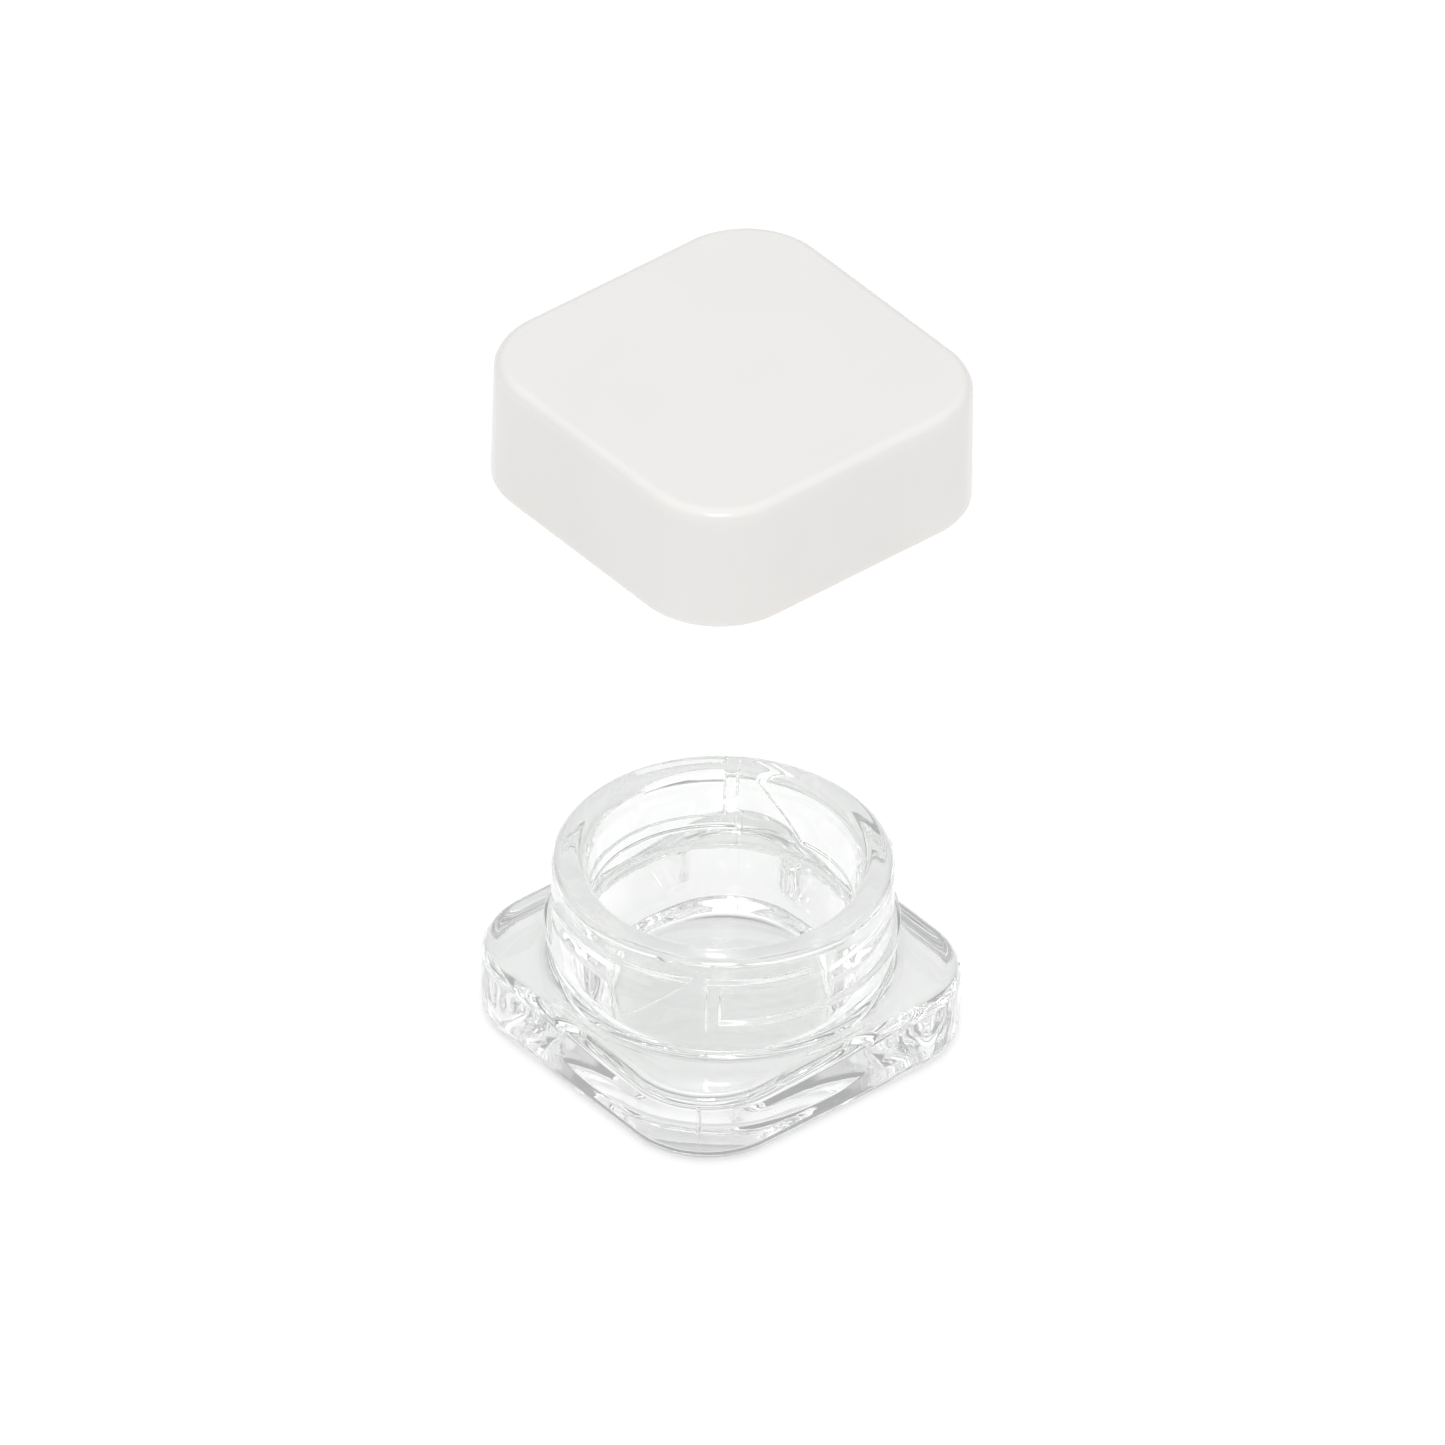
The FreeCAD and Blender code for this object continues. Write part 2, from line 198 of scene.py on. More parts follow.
# %% The moulded skin
def moulded_skin_group():
    """Node group: clouds in the colour, and one grain for the roughness and the surface."""
    group = bpy.data.node_groups.new("moulded_skin", "ShaderNodeTree")
    for name in ("Light", "Dark"):
        group.interface.new_socket(name, in_out="INPUT", socket_type="NodeSocketColor")
    for name in ("Cloud Scale", "Grain Scale", "Smooth", "Dull"):
        group.interface.new_socket(name, in_out="INPUT", socket_type="NodeSocketFloat")
    group.interface.new_socket("Color", in_out="OUTPUT", socket_type="NodeSocketColor")
    for name in ("Roughness", "Grain"):
        group.interface.new_socket(name, in_out="OUTPUT", socket_type="NodeSocketFloat")
    start, end = group.nodes.new("NodeGroupInput").outputs, group.nodes.new("NodeGroupOutput").inputs
    place = group.nodes.new("ShaderNodeTexCoord").outputs["Object"]
    clouds = node_of(group, "ShaderNodeTexNoise", Vector=place, Scale=start["Cloud Scale"], Detail=2.0)
    spread = node_of(group, "ShaderNodeMapRange", Value=clouds.outputs[0], From_Min=0.3, From_Max=0.7)
    colour = group.nodes.new("ShaderNodeMixRGB")
    put(group, spread.outputs[0], colour.inputs["Fac"])
    put(group, start["Dark"], colour.inputs["Color1"])
    put(group, start["Light"], colour.inputs["Color2"])
    grain = node_of(group, "ShaderNodeTexNoise", Vector=place, Scale=start["Grain Scale"], Detail=3.0)
    dull = node_of(group, "ShaderNodeMapRange", Value=grain.outputs[0], From_Min=0.3, From_Max=0.7,
                   To_Min=start["Smooth"], To_Max=start["Dull"])
    group.links.new(colour.outputs[0], end["Color"])
    group.links.new(dull.outputs[0], end["Roughness"])
    group.links.new(grain.outputs[0], end["Grain"])
    return group


moulded_skin = moulded_skin_group()


print("shared effect:", moulded_skin.name, "puts out", [s.name for s in moulded_skin.interface.items_tree
                                                        if s.in_out == "OUTPUT"])

# %% A material with the moulded skin
def skinned_material(name, light, dark, cloud, grain, grain_depth):
    """A material with the skin's clouds in its colour and the skin's grain in its surface."""
    material, shader = new_material(name)
    tree = material.node_tree
    skin = tree.nodes.new("ShaderNodeGroup")
    skin.node_tree = moulded_skin
    for socket, value in {"Light": light, "Dark": dark, "Cloud Scale": cloud, "Grain Scale": grain}.items():
        skin.inputs[socket].default_value = value
    bump = node_of(tree, "ShaderNodeBump", Height=skin.outputs["Grain"], Distance=grain_depth, Strength=1.0)
    tree.links.new(skin.outputs["Color"], shader.inputs["Base Color"])
    tree.links.new(bump.outputs[0], shader.inputs["Normal"])
    return material, shader, skin


def moulded_material(name, light, dark, cloud, grain, smooth, dull, grain_depth):
    """A plastic whose polish varies with the grain, from smooth to dull."""
    material, shader, skin = skinned_material(name, light, dark, cloud, grain, grain_depth)
    skin.inputs["Smooth"].default_value = smooth
    skin.inputs["Dull"].default_value = dull
    material.node_tree.links.new(skin.outputs["Roughness"], shader.inputs["Roughness"])
    return material, shader


print("material makers ready:", skinned_material.__name__, moulded_material.__name__)

# %% [markdown]
# ## White plastic of the cover
# The cover is a glossy white plastic, and a little light travels through it, which takes the hardness off
# its edges. Plain white with a gloss would look like painted metal. A share of subsurface scattering of
# about a millimetre softens the shading, and the grain keeps its highlight from being a perfect mirror.

# %% White plastic of the cover
cover_plastic, cover_shader = moulded_material(
    "white_cover_plastic", light=(0.775, 0.768, 0.758, 1), dark=(0.76, 0.742, 0.725, 1), cloud=45.0,
    grain=2600.0, smooth=0.19, dull=0.25, grain_depth=0.0000008)
cover_shader.inputs["Subsurface Weight"].default_value = 0.25
cover_shader.inputs["Subsurface Radius"].default_value = (1.0, 0.85, 0.7)
cover_shader.inputs["Subsurface Scale"].default_value = 0.0012
cover_shader.inputs["IOR"].default_value = 1.49
print(cover_plastic.name, "lets light in a little, with a depth of",
      round(cover_shader.inputs["Subsurface Scale"].default_value / MM, 2), "mm")

# %% [markdown]
# ## Natural plastic of the inner cap
# The inner cap is the uncoloured grade of such a plastic, greyer and duller, because nobody sees it once
# the jar is closed. It is opaque enough at this thickness to be made without any scattering.

# %% Natural plastic of the inner cap
insert_plastic, insert_shader = moulded_material(
    "natural_insert_plastic", light=(0.77, 0.77, 0.76, 1), dark=(0.70, 0.70, 0.685, 1), cloud=110.0,
    grain=1500.0, smooth=0.40, dull=0.55, grain_depth=0.000004)
insert_shader.inputs["IOR"].default_value = 1.50
print(insert_plastic.name, "is duller than the cover")

# %% [markdown]
# ## Foam of the sealing disc
# The disc is cut from a soft foamed sheet with a fine, dull skin. Its cells are far too small to model, so
# a fine grain with more depth than on the plastics stands for them.

# %% Foam of the sealing disc
seal_foam, foam_shader = moulded_material(
    "white_seal_foam", light=(0.86, 0.86, 0.85, 1), dark=(0.78, 0.78, 0.77, 1), cloud=300.0,
    grain=5200.0, smooth=0.75, dull=0.95, grain_depth=0.00003)
print(seal_foam.name, "keeps the usual IOR of", round(foam_shader.inputs["IOR"].default_value, 2))

# %% [markdown]
# ## Clear pressed glass
# The jar's glass is clear, with a trace of grey-green that only adds up where light crosses it many times.
# The colour of a glass shader acts at each face that light crosses, so it has to stay close to white. The
# clouds make it uneven, as the melt is, and the grain bends what is seen through it by a hair.

# %% Clear pressed glass
glass, glass_shader = skinned_material(
    "clear_pressed_glass", light=(0.966, 0.975, 0.968, 1), dark=(0.936, 0.948, 0.938, 1), cloud=120.0,
    grain=380.0, grain_depth=0.000004)[:2]
glass_shader.inputs["Roughness"].default_value = 0.0
glass_shader.inputs["IOR"].default_value = 1.52
glass_shader.inputs["Transmission Weight"].default_value = 1.0
print("materials:", [m.name for m in (cover_plastic, insert_plastic, seal_foam, glass)])

# %% [markdown]
# ## The pressed glass
# A pressed jar has soft edges everywhere, because molten glass never quite fills a sharp corner of its
# mould. A CAD solid's facets would show as bands in clear glass, so the jar is one smooth skin instead:
# rows of points that start at the middle of the underside, run out and up the base, up the neck, over
# the rim, and down the cavity to the middle of its floor. Each row is a ring. On the base the ring is a
# rounded square, on the neck it is a circle, and the lug track lifts it.

# %% Columns round the axis
# The step and the least gap between columns are in degrees, the softness of the track's edges in mm.
COLUMN_STEP = 1.0
COLUMN_GAP = 0.12
EDGE_SOFTNESS = 0.30
SOFTNESS_DEGREES = math.degrees(EDGE_SOFTNESS / NECK_R)


def rounded_square_radius(direction, half, corner_r):
    """Distance from the axis to a rounded square, along each direction in radians."""
    across = np.abs(np.cos(direction))
    along = np.abs(np.sin(direction))
    far, near = np.maximum(across, along), np.minimum(across, along)
    arm = half - corner_r
    to_flat = half / far
    reach = arm * (across + along)
    to_corner = reach + np.sqrt(np.maximum(reach ** 2 - 2 * arm ** 2 + corner_r ** 2, 0))
    return np.where(to_flat * near <= arm, to_flat, to_corner)


def half_turn_columns():
    """Neck angles over half a turn, closer together beside each edge of the lug track."""
    edges = [HOOK_SPAN[0] + HALF_TURN, RIB_SPAN[0] + HALF_TURN, 0.0, RIB_SPAN[1], HOOK_SPAN[1], PAD_START,
             SLANT_MIDDLE]
    angles = list(np.arange(0, HALF_TURN, COLUMN_STEP))
    for edge in edges:
        angles += [edge + SOFTNESS_DEGREES * step / 3 for step in range(-3, 4)]
    angles = np.unique(np.round(np.mod(angles, HALF_TURN), 2))
    keep = np.append(True, np.diff(angles) > COLUMN_GAP)
    return angles[keep]


columns = half_turn_columns()
neck_angles = np.concatenate([columns, columns + HALF_TURN])
print(len(neck_angles), "columns round the jar")

# %% [markdown]
# ## The lug track
# The track is two sets of hooks, ledges, pads and stop ribs, half a turn apart. It is a height map on the
# neck: a smooth step for each edge, and the tallest feature wins. The pad ends in a slant, and a slant
# across a square grid would come out as a staircase, so the columns lean over to follow it.

# %% Soft edges and the slant
def smooth_step(distance):
    """0 before an edge, 1 from EDGE_SOFTNESS mm past it, with a soft rise between."""
    t = np.clip(distance / EDGE_SOFTNESS, 0, 1)
    return t * t * (3 - 2 * t)


def band(value, low, high):
    """Smooth window between two edges, in mm."""
    return smooth_step(value - low) * smooth_step(high - value)


def slant_angle(z):
    """Neck angle of the pad's slanting end at a height."""
    share = np.clip((z - LEDGE_UNDER) / (HOOK_TOP - LEDGE_UNDER), 0, 1)
    return PAD_FOOT_END + share * (PAD_HEAD_END - PAD_FOOT_END)


def leaning(angle, z):
    """Neck angles moved so that one column follows the slant."""
    stop = HALF_TURN + HOOK_SPAN[0]
    turn, base = np.divmod(angle, HALF_TURN)
    target = slant_angle(z)
    before = PAD_START + (base - PAD_START) * (target - PAD_START) / (SLANT_MIDDLE - PAD_START)
    after = stop - (stop - base) * (stop - target) / (stop - SLANT_MIDDLE)
    moved = np.where(base < SLANT_MIDDLE, before, after)
    moved = np.where((base > PAD_START) & (base < stop), moved, base)
    return moved + HALF_TURN * turn


print("the slant leans from %.1f to %.1f degrees" % (slant_angle(LEDGE_UNDER), slant_angle(HOOK_TOP)))

# %% Height of the lug track and of the seam
# Degrees that the ledge runs on into the rib and the pad
LEDGE_LAP = 2


def arc_band(angle, start, end):
    """Smooth window between two neck angles."""
    return band(angle * DEGREE_ARC, start * DEGREE_ARC, end * DEGREE_ARC)


def track_height(angle, z):
    """How far the lug track stands out of the neck, in mm."""
    angle = np.mod(angle, HALF_TURN)
    height = np.zeros_like(angle)
    for turned in (angle, angle - HALF_TURN):
        hook = arc_band(turned, *HOOK_SPAN) * band(z, HOOK_UNDER, HOOK_TOP)
        rib = arc_band(turned, *RIB_SPAN) * band(z, LEDGE_UNDER, HOOK_TOP)
        ledge = arc_band(turned, RIB_SPAN[1] - LEDGE_LAP, PAD_START + LEDGE_LAP)
        ledge = ledge * band(z, LEDGE_UNDER, LEDGE_TOP)
        pad = arc_band(turned, PAD_START, slant_angle(z)) * band(z, LEDGE_UNDER, HOOK_TOP)
        height = np.maximum.reduce([height, hook, rib, ledge, pad])
    return TRACK_RISE * height


def seam_height(angle):
    """Fine raised mould seam on two opposite corners."""
    away = np.abs(np.mod(angle + HALF_TURN / 2, HALF_TURN) - HALF_TURN / 2) * DEGREE_ARC
    return SEAM_HEIGHT * np.clip(1 - (away / SEAM_WIDTH) ** 2, 0, 1)


print("track stands %.2f mm out of the neck" % TRACK_RISE)

# %% [markdown]
# ## Waves in the glass
# Hot glass chills as it is pressed, so no face of the neck or the cavity is truly smooth. Waves about a
# hundredth of a millimetre high are enough to bend what is seen through them. Each face has its own.

# %% Waves left by the mould
WAVE_DEPTH = 0.006
WAVE_SHARES = (1.0, 0.7, 0.5)
# Each face has a number of its own, which shifts its waves against those of the other face.
NECK_FACE = 3
CAVITY_FACE = 5
CAVITY_WAVE_PITCH = 1.5


def mould_wave(angle, z, face):
    """Height of the slow waves on one face, in mm: a long, a middle and a short wave."""
    turn = np.radians(angle)
    waves = (np.sin(3 * turn + 1.7 * face + 0.35 * z), np.sin(7 * turn - 0.8 * z + 2.3 * face),
             np.sin(13 * turn + 1.3 * z + 0.6 * face))
    return WAVE_DEPTH * sum(share * wave for share, wave in zip(WAVE_SHARES, waves))


print("waves up to %.3f mm" % (sum(WAVE_SHARES) * WAVE_DEPTH))

# %% [markdown]
# ## Rings of the jar
# A ring is a function that takes the columns' angles and gives a radius, a height and an angle for each.
# Lathe work in Blender is often done with the Screw modifier, but this jar turns from a rounded square
# into a circle and back, so each ring says for itself how far out it runs. A rounded edge is a few rings
# close together along an arc.

# %% Kinds of ring
def circle_row(radius, z):
    """A plain ring."""
    def row(angle):
        return np.full_like(angle, radius), np.full_like(angle, z), angle
    return row


def plunger_row(radius, z):
    """A ring on the wall that the plunger pressed."""
    def row(angle):
        wave = mould_wave(angle, CAVITY_WAVE_PITCH * z, CAVITY_FACE)
        return radius + wave, np.full_like(angle, z), angle
    return row


def square_row(inset, z, seam=False):
    """A rounded-square ring, set in from the base's side."""
    def row(angle):
        direction = np.radians(SEAM_DIRECTION + angle)
        radius = rounded_square_radius(direction, SIDE / 2 - inset, BASE_CORNER_R - inset)
        if seam:
            radius = radius + seam_height(angle)
        return radius, np.full_like(angle, z), angle
    return row


def between_row(square_inset, circle_r, share, z):
    """A ring part of the way from a rounded square, share 0, to a circle, share 1."""
    def row(angle):
        direction = np.radians(SEAM_DIRECTION + angle)
        square = rounded_square_radius(direction, SIDE / 2 - square_inset, BASE_CORNER_R - square_inset)
        radius = square * (1 - share) + circle_r * share
        lift = (seam_height(angle) if z > FOOT_FILLET else 0) * np.ones_like(angle)
        return radius, z + lift, angle
    return row


def neck_row(z, out=0.0):
    """A ring on the neck, with the lug track and the seam."""
    def row(angle):
        placed = leaning(angle, np.full_like(angle, z))
        raised = np.maximum(track_height(placed, z), seam_height(placed))
        return NECK_R + out + raised + mould_wave(placed, z, NECK_FACE), np.full_like(angle, z), placed
    return row


print("ring kinds:", [kind.__name__ for kind in (circle_row, plunger_row, square_row, between_row, neck_row)])

# %% Rings of the base
EDGE_ROWS = 10
SIDE_ROWS = 7
# Radians up the foot's rounded edge
SEAM_START = 1.2
DISH_RINGS = (1.5, 3, 5, 7, 9, 10.5, 11.2)
DISH_LIP = 0.2


def arc_steps(count):
    """Angles from 0 to a right angle, without the first."""
    return np.radians(np.linspace(0, 90, count + 1)[1:])


def underside_rows():
    """Shallow dish, then the flat that the jar stands on."""
    rows = [circle_row(r, DISH_DEPTH * (1 - (r / DISH_R) ** 2)) for r in DISH_RINGS]
    rows.append(circle_row(DISH_R, 0.0))
    rows += [between_row(FOOT_FILLET, DISH_R + DISH_LIP, share, 0.0) for share in (1.0, 0.7, 0.4, 0.15)]
    return rows + [square_row(FOOT_FILLET, 0.0)]


def side_rows():
    """Foot edge, upright side and shoulder edge of the base; the seam starts part of the way up the edge."""
    rows = [square_row(FOOT_FILLET * (1 - math.sin(t)), FOOT_FILLET * (1 - math.cos(t)), t > SEAM_START)
            for t in arc_steps(EDGE_ROWS)]
    low, high = FOOT_FILLET, BASE_HEIGHT - SHOULDER_FILLET
    rows += [square_row(0, z, True) for z in np.linspace(low, high, SIDE_ROWS)[1:]]
    rows += [square_row(SHOULDER_FILLET * (1 - math.cos(t)), high + SHOULDER_FILLET * math.sin(t))
             for t in arc_steps(EDGE_ROWS)]
    return rows


def shoulder_rows():
    """Flat shoulder and the fillet at the neck's root."""
    root = NECK_R + NECK_ROOT_R
    rows = [between_row(SHOULDER_FILLET, root, share, BASE_HEIGHT) for share in (0.2, 0.4, 0.6, 0.8, 1.0)]
    rows += [neck_row(BASE_HEIGHT + NECK_ROOT_R * (1 - math.cos(t)), NECK_ROOT_R * (1 - math.sin(t)))
             for t in arc_steps(EDGE_ROWS)]
    return rows


base_rows = underside_rows() + side_rows() + shoulder_rows()
print(len(base_rows), "rings from the underside to the neck's root")

# %% Rings of the neck, rim and cavity
NECK_ROW_STEP = 0.35
NECK_FIRST_ROW = 0.3
NECK_ROW_GAP = 0.05
RIM_INNER_ROWS = 7
CAVITY_ROWS = 22
FLOOR_EDGE_ROWS = 12


def neck_rows():
    """The neck, with rows closer together at each edge of the track."""
    low, high = BASE_HEIGHT + NECK_ROOT_R, RIM_Z - RIM_OUTER_R
    heights = list(np.arange(low + NECK_FIRST_ROW, high, NECK_ROW_STEP)) + [high]
    for edge, inward in ((LEDGE_UNDER, 1), (LEDGE_TOP, -1), (HOOK_UNDER, 1), (HOOK_TOP, -1)):
        heights += [edge + inward * EDGE_SOFTNESS * step / 4 for step in range(-1, 6)]
    heights = np.unique(np.round(heights, 3))
    heights = heights[np.append(True, np.diff(heights) > NECK_ROW_GAP)]
    return [neck_row(z) for z in heights if low < z <= high]


def rim_rows():
    """Outer rounding, crown and inner rounding of the rim."""
    rows = [circle_row(NECK_R - RIM_OUTER_R * (1 - math.cos(t)), RIM_Z - RIM_OUTER_R * (1 - math.sin(t)))
            for t in arc_steps(EDGE_ROWS)]
    outer, inner = NECK_R - RIM_OUTER_R, MOUTH_R + RIM_INNER_R
    rows += [circle_row(outer + (inner - outer) * share, RIM_Z) for share in (0.33, 0.67, 1.0)]
    rows += [circle_row(inner - RIM_INNER_R * math.sin(t), RIM_Z - RIM_INNER_R * (1 - math.cos(t)))
             for t in arc_steps(RIM_INNER_ROWS)]
    return rows


def cavity_rows():
    """Tapered wall, rounded floor edge and floor."""
    depth = RIM_Z - FLOOR_Z
    slope = (MOUTH_R - CAVITY_R) / depth
    top, bottom = RIM_Z - RIM_INNER_R, FLOOR_Z + FLOOR_EDGE_R
    heights = np.linspace(top, bottom, CAVITY_ROWS)[1:]
    rows = [plunger_row(CAVITY_R + slope * (z - FLOOR_Z), z) for z in heights]
    corner = CAVITY_R + slope * FLOOR_EDGE_R - FLOOR_EDGE_R
    rows += [circle_row(corner + FLOOR_EDGE_R * math.cos(t), bottom - FLOOR_EDGE_R * math.sin(t))
             for t in arc_steps(FLOOR_EDGE_ROWS)]
    rows += [circle_row(corner * share, FLOOR_Z) for share in (0.85, 0.65, 0.45, 0.3, 0.15)]
    return rows


jar_rows = base_rows + neck_rows() + rim_rows() + cavity_rows()
print(len(jar_rows), "rings from the underside to the cavity floor")

# %% [markdown]
# ## Join the rings
# Neighbouring rings are joined with quads, and a fan of triangles closes each end. The glass has to be one
# watertight body with outward faces, because a glass shader works out from them where light enters and
# leaves. A skin with a gap would bend light the wrong way.

# %% Join the rings into one closed skin
def skin_from_rows(name, rows, first_z, last_z):
    """Closed mesh from rings, with a fan of triangles at each end."""
    count = len(neck_angles)
    points = [(0.0, 0.0, first_z * MM)]
    for row in rows:
        radius, z, angle = row(neck_angles)
        direction = np.radians(SEAM_DIRECTION + angle)
        ring = np.column_stack([radius * np.cos(direction), radius * np.sin(direction), z]) * MM
        points += [tuple(p) for p in ring]
    points.append((0.0, 0.0, last_z * MM))
    faces = [(0, 1 + (i + 1) % count, 1 + i) for i in range(count)]
    for r in range(len(rows) - 1):
        low, high = 1 + r * count, 1 + (r + 1) * count
        faces += [(low + i, low + (i + 1) % count, high + (i + 1) % count, high + i) for i in range(count)]
    last, top = 1 + (len(rows) - 1) * count, len(points) - 1
    faces += [(last + i, last + (i + 1) % count, top) for i in range(count)]
    mesh = bpy.data.meshes.new(name)
    mesh.from_pydata(points, [], faces)
    mesh.polygons.foreach_set("use_smooth", [True] * len(faces))
    mesh.update()
    piece = bpy.data.objects.new(name, mesh)
    bpy.context.collection.objects.link(piece)
    return piece


pressed_jar = skin_from_rows("pressed_glass_jar", jar_rows, DISH_DEPTH, FLOOR_Z)
print(len(pressed_jar.data.polygons), "faces in the glass skin")

# %% Give the jar its glass
pressed_jar.data.materials.append(glass)
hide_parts("glass_jar")
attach(pressed_jar, "jar")
print(pressed_jar.name, "rides on the jar, in", glass.name)

# %% [markdown]
# ## The white cover
# The cover follows one rule: its cross-section stays the same all the way round, while the ring it runs
# along is a rounded square outside and the larger of a rounded square and a bore inside. So the
# cross-section is drawn once, as a chain of points, and a node tree runs it round the ring. The tree also
# stands two keys and a catch in each of the four corners, where the fins of the inner cap snap in.

# %% Sizes of the cover
shell_low, shell_high = (np.array(corner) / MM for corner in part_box("outer_shell"))
# The top stays this far under the CAD box, so that rounding can't lift it out of it.
ROUNDING = 0.001
COVER_UNDER, COVER_TOP = shell_low[2], shell_high[2] - ROUNDING
COVER_SIDE = shell_high[0] - shell_low[0]
COVER_CORNER_R = 7.95
COVER_WALL = 1.2
COVER_BORE_R = 16.6
COVER_TOP_WALL = 0.9
COVER_EDGE_R = 1.1
COVER_LIP_R = 0.25
COVER_DRAFT = 0.6
COVER_SLOPE = math.tan(math.radians(COVER_DRAFT))
COVER_COLUMNS = 240
CEILING = COVER_TOP - COVER_TOP_WALL
print("cover %.2f mm square, %.2f mm high" % (COVER_SIDE, COVER_TOP - COVER_UNDER))

# %% Cross-section of the cover's wall
TOP_SHARES = (0.0, 0.15, 0.4, 0.65, 0.85, 0.95, 0.99)
CEILING_SHARES = (0.996, 0.9, 0.6, 0.3, 0.0)
TIGHT_RING = 0.05


def cover_section():
    """Points (inset, share, height) from the middle of the top, over the edge, to the middle of the ceiling.

    Inset is measured inwards from the lower edge. Share shrinks the ring towards the axis, and is
    negative where the ring is the inner one. A tight ring beside a sharp edge keeps the edge sharp."""
    height = COVER_TOP - COVER_UNDER
    edge_inset = COVER_SLOPE * height + COVER_EDGE_R
    points = [(edge_inset, share, COVER_TOP) for share in TOP_SHARES]
    points += [(edge_inset - COVER_EDGE_R * math.sin(t), 1.0, COVER_TOP - COVER_EDGE_R * (1 - math.cos(t)))
               for t in np.radians(np.linspace(0, 90, 13))]
    side_top, side_foot = COVER_TOP - COVER_EDGE_R, COVER_UNDER + COVER_LIP_R
    points += [(COVER_SLOPE * (z - COVER_UNDER), 1.0, z) for z in np.linspace(side_top, side_foot, 8)[1:]]
    points += [(COVER_LIP_R * (1 - math.cos(t)), 1.0, COVER_UNDER + COVER_LIP_R * (1 - math.sin(t)))
               for t in np.radians(np.linspace(0, 90, 7)[1:])]
    inner_heights = [COVER_UNDER, COVER_UNDER + TIGHT_RING]
    inner_heights += list(np.linspace(COVER_UNDER + 10 * TIGHT_RING, CEILING - TIGHT_RING, 8)) + [CEILING]
    points += [(COVER_WALL + COVER_SLOPE * (z - COVER_UNDER), -1.0, z) for z in inner_heights]
    ceiling_inset = COVER_WALL + COVER_SLOPE * (CEILING - COVER_UNDER)
    points += [(ceiling_inset, -share, CEILING) for share in CEILING_SHARES]
    return points


section_points = cover_section()
section_mesh = bpy.data.meshes.new("cover_section")
section_mesh.from_pydata(section_points, [(i, i + 1) for i in range(len(section_points) - 1)], [])
white_cover = bpy.data.objects.new("white_cover", section_mesh)
bpy.context.collection.objects.link(white_cover)
print(len(section_points), "points in the cross-section")

# %% Rounded square as a rule
def rounded_square_ring():
    """Node group: distance from the axis to a rounded square, along a direction."""
    group = bpy.data.node_groups.new("rounded_square_ring", "GeometryNodeTree")
    for name in ("Direction", "Half", "Corner"):
        group.interface.new_socket(name, in_out="INPUT", socket_type="NodeSocketFloat")
    group.interface.new_socket("Radius", in_out="OUTPUT", socket_type="NodeSocketFloat")
    start, end = group.nodes.new("NodeGroupInput").outputs, group.nodes.new("NodeGroupOutput").inputs
    across = maths(group, "ABSOLUTE", maths(group, "COSINE", start["Direction"]))
    along = maths(group, "ABSOLUTE", maths(group, "SINE", start["Direction"]))
    arm = maths(group, "SUBTRACT", start["Half"], start["Corner"])
    to_flat = maths(group, "DIVIDE", start["Half"], maths(group, "MAXIMUM", across, along))
    reach = maths(group, "MULTIPLY", arm, maths(group, "ADD", across, along))
    rest = maths(group, "SUBTRACT", maths(group, "POWER", reach, 2.0),
                 maths(group, "MULTIPLY", maths(group, "POWER", arm, 2.0), 2.0))
    rest = maths(group, "ADD", rest, maths(group, "POWER", start["Corner"], 2.0))
    to_corner = maths(group, "ADD", reach, maths(group, "SQRT", maths(group, "MAXIMUM", rest, 0.0)))
    side_step = maths(group, "MULTIPLY", to_flat, maths(group, "MINIMUM", across, along))
    on_flat = maths(group, "LESS_THAN", side_step, arm)
    swap = maths(group, "MULTIPLY", on_flat, maths(group, "SUBTRACT", to_flat, to_corner))
    group.links.new(maths(group, "ADD", to_corner, swap), end["Radius"])
    return group


ring_rule = rounded_square_ring()
print("rule group:", ring_rule.name, len(ring_rule.nodes), "nodes")

# %% Keys and catches of one corner
FIN_RISE = 1.5
FIN_FIT = 0.06
FIN_FOOT = COVER_UNDER + FIN_RISE
KEY_THICKNESS = 0.8
KEY_OFFSET = 0.96
KEY_REACH = (16.63, 20.3)
CATCH_REACH = (19.25, 20.3)
CATCH_WIDTH = 3.0
CATCH_TOP = FIN_FOOT - FIN_FIT
CATCH_HEIGHT = 0.5


def corner_block(tree, reach, width, offset, low, high):
    """A block that stands along +X between two distances from the axis."""
    size = ((reach[1] - reach[0]) * MM, width * MM, (high - low) * MM)
    cube = node_of(tree, "GeometryNodeMeshCube", Size=size)
    middle = ((reach[0] + reach[1]) / 2 * MM, offset * MM, (low + high) / 2 * MM)
    moved = node_of(tree, "GeometryNodeTransform", Geometry=cube.outputs["Mesh"], Translation=middle)
    return moved.outputs["Geometry"]


def corner_blocks(tree):
    """Two keys with a catch under them, joined, in all four corners."""
    one = tree.nodes.new("GeometryNodeJoinGeometry")
    for offset in (-KEY_OFFSET, KEY_OFFSET):
        tree.links.new(corner_block(tree, KEY_REACH, KEY_THICKNESS, offset, FIN_FOOT, CEILING), one.inputs[0])
    catch = corner_block(tree, CATCH_REACH, CATCH_WIDTH, 0.0, CATCH_TOP - CATCH_HEIGHT, CATCH_TOP)
    tree.links.new(catch, one.inputs[0])
    spots = node_of(tree, "GeometryNodePoints", Count=4)
    index = tree.nodes.new("GeometryNodeInputIndex").outputs["Index"]
    turn = maths(tree, "ADD", maths(tree, "MULTIPLY", index, math.pi / 2), math.pi / 4)
    aim = node_of(tree, "ShaderNodeCombineXYZ", Z=turn)
    spread = node_of(tree, "GeometryNodeInstanceOnPoints", Points=spots.outputs[0],
                     Instance=one.outputs[0], Rotation=aim.outputs[0])
    return spread.outputs["Instances"]


print("keys %.2f to %.2f mm from the axis" % KEY_REACH)

